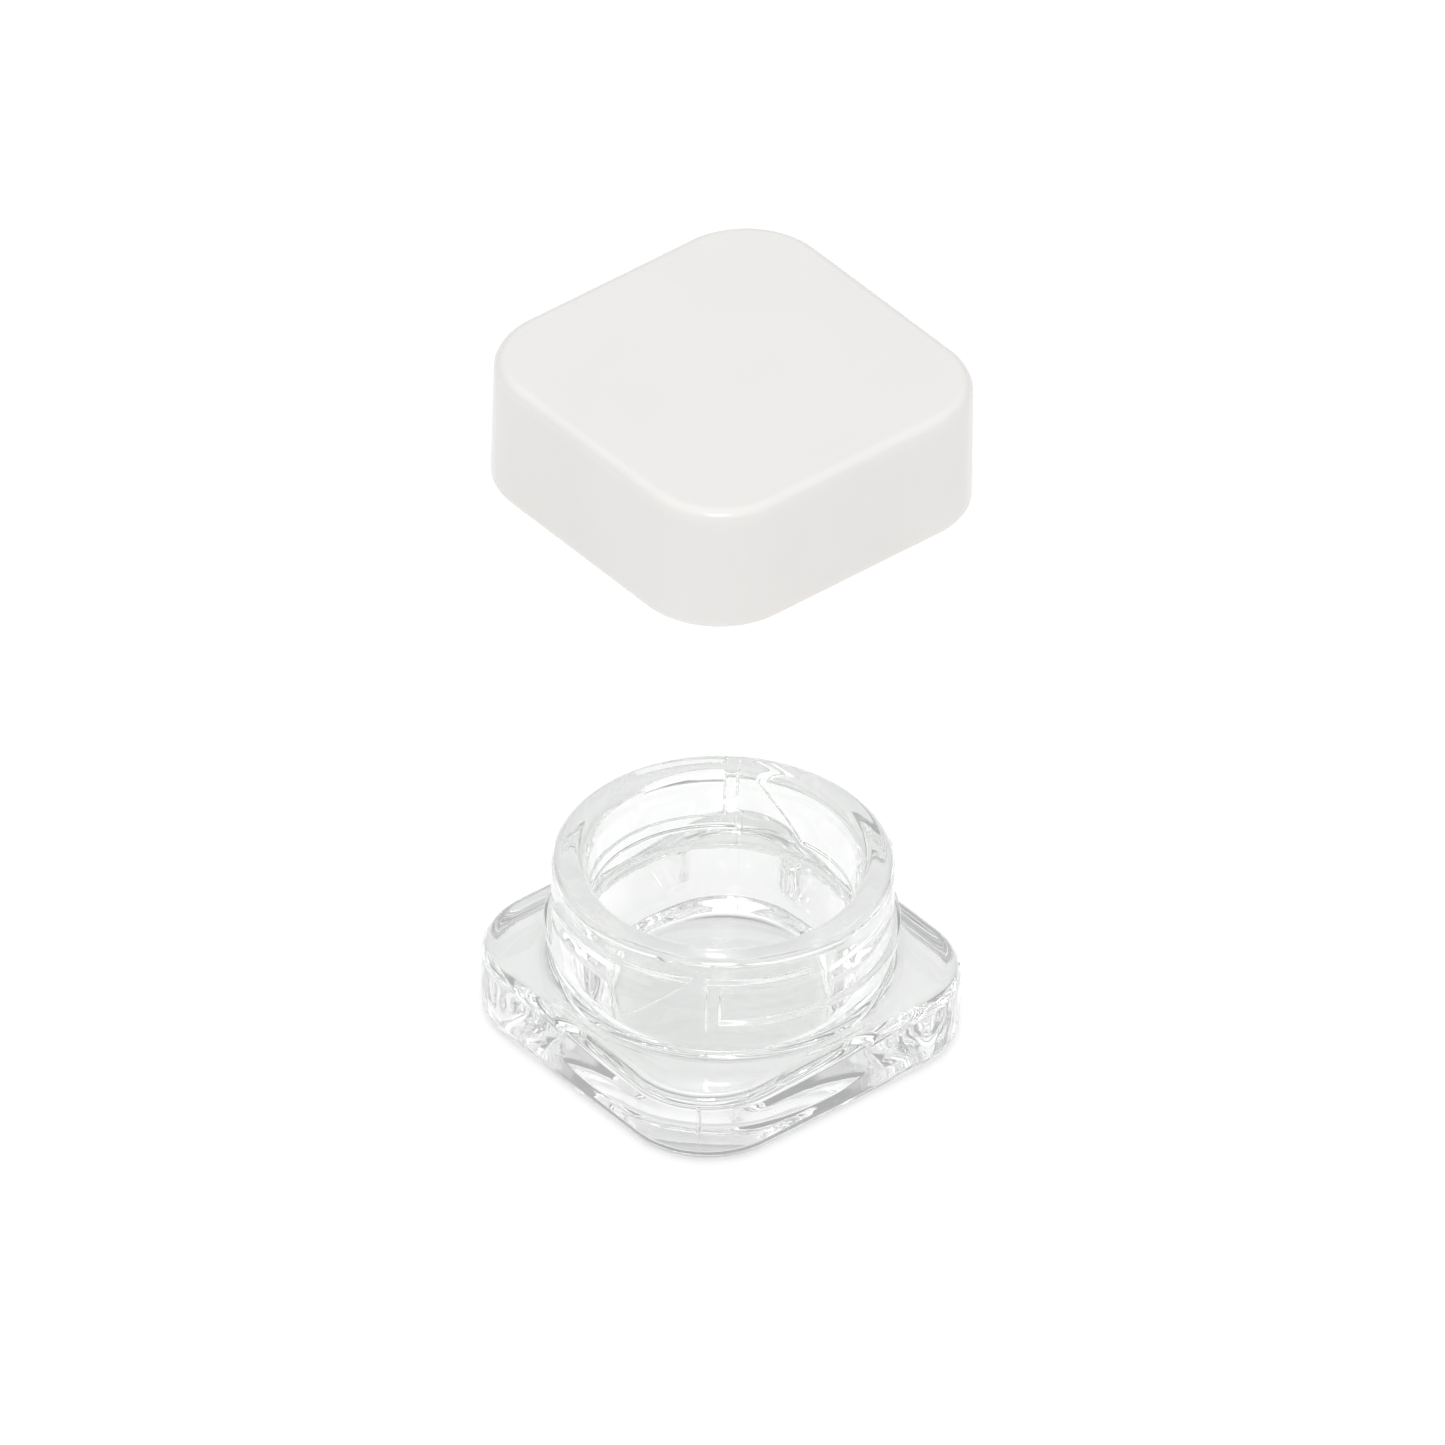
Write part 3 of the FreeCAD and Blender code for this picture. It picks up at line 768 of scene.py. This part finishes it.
# %% [markdown]
# ## The cover's node tree
# Curve to Mesh would sweep the cross-section along one path, but the outside and the bore of this cover
# follow different paths. So the tree bends a flat grid instead: its columns go round the cover, its rows
# follow the cross-section, and each point moves to where its ring and its height put it. The grid's two
# ends meet and are merged, and the corner blocks join in as instances that are made real at the end.

# %% Read the cross-section inside the tree
def section_grid(tree, section, columns):
    """A flat grid with a row for each point of the cross-section, and the point's three numbers."""
    count = node_of(tree, "GeometryNodeAttributeDomainSize", Geometry=section).outputs["Point Count"]
    span = maths(tree, "SUBTRACT", count, 1.0)
    grid = node_of(tree, "GeometryNodeMeshGrid", Size_X=2 * math.pi, Size_Y=span,
                   Vertices_X=maths(tree, "ADD", columns, 1.0), Vertices_Y=count)
    place = tree.nodes.new("GeometryNodeInputPosition").outputs[0]
    flat = node_of(tree, "ShaderNodeSeparateXYZ", Vector=place).outputs
    row = maths(tree, "ROUND", maths(tree, "ADD", flat["Y"], maths(tree, "MULTIPLY", span, 0.5)))
    sample = tree.nodes.new("GeometryNodeSampleIndex")
    sample.data_type = "FLOAT_VECTOR"
    put(tree, section, sample.inputs["Geometry"])
    put(tree, place, sample.inputs["Value"])
    put(tree, row, sample.inputs["Index"])
    point = node_of(tree, "ShaderNodeSeparateXYZ", Vector=sample.outputs["Value"]).outputs
    return grid.outputs["Mesh"], flat["X"], point


def wall_radius(tree, start, direction, inset, share):
    """Distance from the axis to the wall, in metres: the ring, or the bore where that is wider inside."""
    ring = tree.nodes.new("GeometryNodeGroup")
    ring.node_tree = ring_rule
    half = maths(tree, "SUBTRACT", maths(tree, "MULTIPLY", start["Side"], 0.5), inset)
    put(tree, direction, ring.inputs["Direction"])
    put(tree, half, ring.inputs["Half"])
    put(tree, maths(tree, "SUBTRACT", start["Corner Radius"], inset), ring.inputs["Corner"])
    bored = maths(tree, "MAXIMUM", ring.outputs["Radius"], start["Bore Radius"])
    inner = maths(tree, "LESS_THAN", share, 0.0)
    widen = maths(tree, "MULTIPLY", inner, maths(tree, "SUBTRACT", bored, ring.outputs["Radius"]))
    radius = maths(tree, "MULTIPLY", maths(tree, "ADD", ring.outputs["Radius"], widen),
                   maths(tree, "ABSOLUTE", share))
    return maths(tree, "MULTIPLY", radius, MM)


print("tree parts ready:", section_grid.__name__, wall_radius.__name__)

# %% The cover's tree
MERGE_DISTANCE = 0.000001


def cover_tree():
    """Runs a cross-section round the ring and adds the corner blocks."""
    tree = bpy.data.node_groups.new("moulded_cover", "GeometryNodeTree")
    tree.interface.new_socket("Section", in_out="INPUT", socket_type="NodeSocketGeometry")
    for name in ("Side", "Corner Radius", "Bore Radius"):
        tree.interface.new_socket(name, in_out="INPUT", socket_type="NodeSocketFloat")
    tree.interface.new_socket("Columns", in_out="INPUT", socket_type="NodeSocketInt")
    tree.interface.new_socket("Material", in_out="INPUT", socket_type="NodeSocketMaterial")
    tree.interface.new_socket("Cover", in_out="OUTPUT", socket_type="NodeSocketGeometry")
    start, end = tree.nodes.new("NodeGroupInput").outputs, tree.nodes.new("NodeGroupOutput").inputs

    grid, direction, point = section_grid(tree, start["Section"], start["Columns"])
    inset, share, height = point
    radius = wall_radius(tree, start, direction, inset, share)
    bent = node_of(tree, "ShaderNodeCombineXYZ", Z=maths(tree, "MULTIPLY", height, MM),
                   X=maths(tree, "MULTIPLY", radius, maths(tree, "COSINE", direction)),
                   Y=maths(tree, "MULTIPLY", radius, maths(tree, "SINE", direction)))
    skin = node_of(tree, "GeometryNodeSetPosition", Geometry=grid, Position=bent.outputs[0])
    skin = node_of(tree, "GeometryNodeMergeByDistance", Geometry=skin.outputs[0], Distance=MERGE_DISTANCE)
    skin = node_of(tree, "GeometryNodeFlipFaces", Mesh=skin.outputs[0])
    skin = node_of(tree, "GeometryNodeSetShadeSmooth", Geometry=skin.outputs[0])
    whole = tree.nodes.new("GeometryNodeJoinGeometry")
    tree.links.new(corner_blocks(tree), whole.inputs[0])
    tree.links.new(skin.outputs[0], whole.inputs[0])
    real = node_of(tree, "GeometryNodeRealizeInstances", Geometry=whole.outputs[0])
    painted = node_of(tree, "GeometryNodeSetMaterial", Geometry=real.outputs[0], Material=start["Material"])
    tree.links.new(painted.outputs[0], end["Cover"])
    return tree


def run_tree(piece, tree, values):
    """Puts a tree on a piece, sets its named inputs and keeps the result as a plain mesh."""
    modifier = piece.modifiers.new("build", "NODES")
    modifier.node_group = tree
    for item in tree.interface.items_tree:
        if item.name in values:
            modifier[item.identifier] = values[item.name]
    solved = piece.evaluated_get(bpy.context.evaluated_depsgraph_get())
    mesh = bpy.data.meshes.new_from_object(solved)
    mesh.polygons.foreach_set("material_index", [0] * len(mesh.polygons))
    mesh.materials.clear()
    mesh.materials.append(values["Material"])
    piece.modifiers.remove(modifier)
    piece.data = mesh


moulded_cover = cover_tree()
print("cover tree:", len(moulded_cover.nodes), "nodes")

# %% Mould the cover
run_tree(white_cover, moulded_cover, {
    "Side": COVER_SIDE, "Corner Radius": COVER_CORNER_R, "Bore Radius": COVER_BORE_R,
    "Columns": COVER_COLUMNS, "Material": cover_plastic})
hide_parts("outer_shell")
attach(white_cover, "cap")
print(len(white_cover.data.polygons), "faces in the cover")

# %% [markdown]
# ## Inner cap and sealing disc
# Both are plain moulded pieces whose CAD shapes are already fine enough, so they only need a material.

# %% Materials of the inner pieces
for node, plastic in (("inner_cap", insert_plastic), ("seal_disc", seal_foam)):
    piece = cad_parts[node]
    piece.data.materials.clear()
    piece.data.materials.append(plastic)
    print(node, "in", plastic.name)

# %% [markdown]
# ## Floor
# The jar stands on white paper that glows a little, like a light table, so the paper comes out as white
# as the page. It also lights the sides of the cover from below. It lies a hair under the jar, because
# clear glass that touches it face to face comes out black.

# %% Floor
FLOOR_HALF = 20.0
FLOOR_GAP = 0.00008
PAPER_GREY = 0.56
PAPER_GLOW = 0.52
floor_corners = [(x * FLOOR_HALF, y * FLOOR_HALF, -FLOOR_GAP)
                 for x, y in ((-1, -1), (1, -1), (1, 1), (-1, 1))]
floor_mesh = bpy.data.meshes.new("floor")
floor_mesh.from_pydata(floor_corners, [], [(0, 1, 2, 3)])
floor = bpy.data.objects.new("floor", floor_mesh)
bpy.context.collection.objects.link(floor)
paper, paper_shader = new_material("white_paper")
paper_shader.inputs["Base Color"].default_value = (PAPER_GREY, PAPER_GREY, PAPER_GREY, 1)
paper_shader.inputs["Roughness"].default_value = 0.9
paper_shader.inputs["Specular IOR Level"].default_value = 0.1
paper_shader.inputs["Emission Color"].default_value = (1, 1, 1, 1)
paper_shader.inputs["Emission Strength"].default_value = PAPER_GLOW
floor_mesh.materials.append(paper)
print("paper", 2 * FLOOR_HALF, "m wide,", round(FLOOR_GAP / MM, 2), "mm under the jar")

# %% [markdown]
# ## Light
# A pale room, brighter overhead and in front, and one soft box above the camera. The box is small, so it
# leaves only a short highlight on the near corner of the cover, and bright spots on the rim.

# %% Pale room
DOME_LOW = 0.40
DOME_HIGH = 1.41
DOME_FRONT = 1.18
# Between these heights of the view direction the room brightens, and between these shares of looking
# forward it takes on the brightness of the front.
DOME_BRIGHTENS = (0.45, 0.95)
DOME_TURNS = (-0.3, 0.6)


def studio_dome(tree):
    """Pale room: bright overhead and in front, darker behind and towards the horizon."""
    place = tree.nodes.new("ShaderNodeTexCoord").outputs["Generated"]
    height = node_of(tree, "ShaderNodeSeparateXYZ", Vector=place).outputs["Z"]
    overhead = node_of(tree, "ShaderNodeMapRange", Value=height, From_Min=DOME_BRIGHTENS[0],
                       From_Max=DOME_BRIGHTENS[1], To_Min=DOME_LOW, To_Max=DOME_HIGH)
    front = tree.nodes.new("ShaderNodeVectorMath")
    front.operation = "DOT_PRODUCT"
    put(tree, place, front.inputs[0])
    put(tree, towards(CAMERA_AZIMUTH, 0), front.inputs[1])
    ahead = node_of(tree, "ShaderNodeMapRange", Value=front.outputs["Value"], From_Min=DOME_TURNS[0],
                    From_Max=DOME_TURNS[1], To_Min=1.0, To_Max=DOME_FRONT)
    room = tree.nodes["Background"]
    put(tree, maths(tree, "MULTIPLY", overhead.outputs["Result"], ahead.outputs["Result"]),
        room.inputs["Strength"])
    put(tree, (1, 1, 1, 1), room.inputs["Color"])


world = bpy.data.worlds.new("studio")
bpy.context.scene.world = world
world.use_nodes = True
studio_dome(world.node_tree)
print("room from", DOME_LOW, "at the horizon to", DOME_HIGH, "overhead")

# %% Soft box
def soft_box(name, azimuth, elevation, distance, size, power):
    """Square area light that faces the jar. Angles in degrees, distance and size in metres, power in watts."""
    data = bpy.data.lights.new(name, "AREA")
    data.size = size
    data.energy = power
    lamp = bpy.data.objects.new(name, data)
    back = towards(azimuth, elevation)
    lamp.location = Vector((0, 0, AIM_HEIGHT)) + back * distance
    lamp.rotation_euler = (-back).to_track_quat("-Z", "Y").to_euler()
    bpy.context.collection.objects.link(lamp)
    return lamp


key_box = soft_box("key_box", azimuth=-42, elevation=55, distance=1.3, size=0.36, power=3.5)
print(key_box.name, "of", key_box.data.energy, "W at", [round(v, 2) for v in key_box.location])

# %% [markdown]
# ## Light inside the glass
# Light runs round inside a thick glass wall many times before it leaves, and each time it is reflected
# counts as a bounce. With the usual few bounces such glass turns black, so the limits are raised. The
# standard view keeps white paper white.

# %% Bounces and view
bpy.context.scene.view_settings.view_transform = "Standard"
cycles = bpy.context.scene.cycles
cycles.max_bounces = 40
cycles.glossy_bounces = 32
cycles.transmission_bounces = 32
cycles.diffuse_bounces = 6
print("light may bounce", cycles.max_bounces, "times")
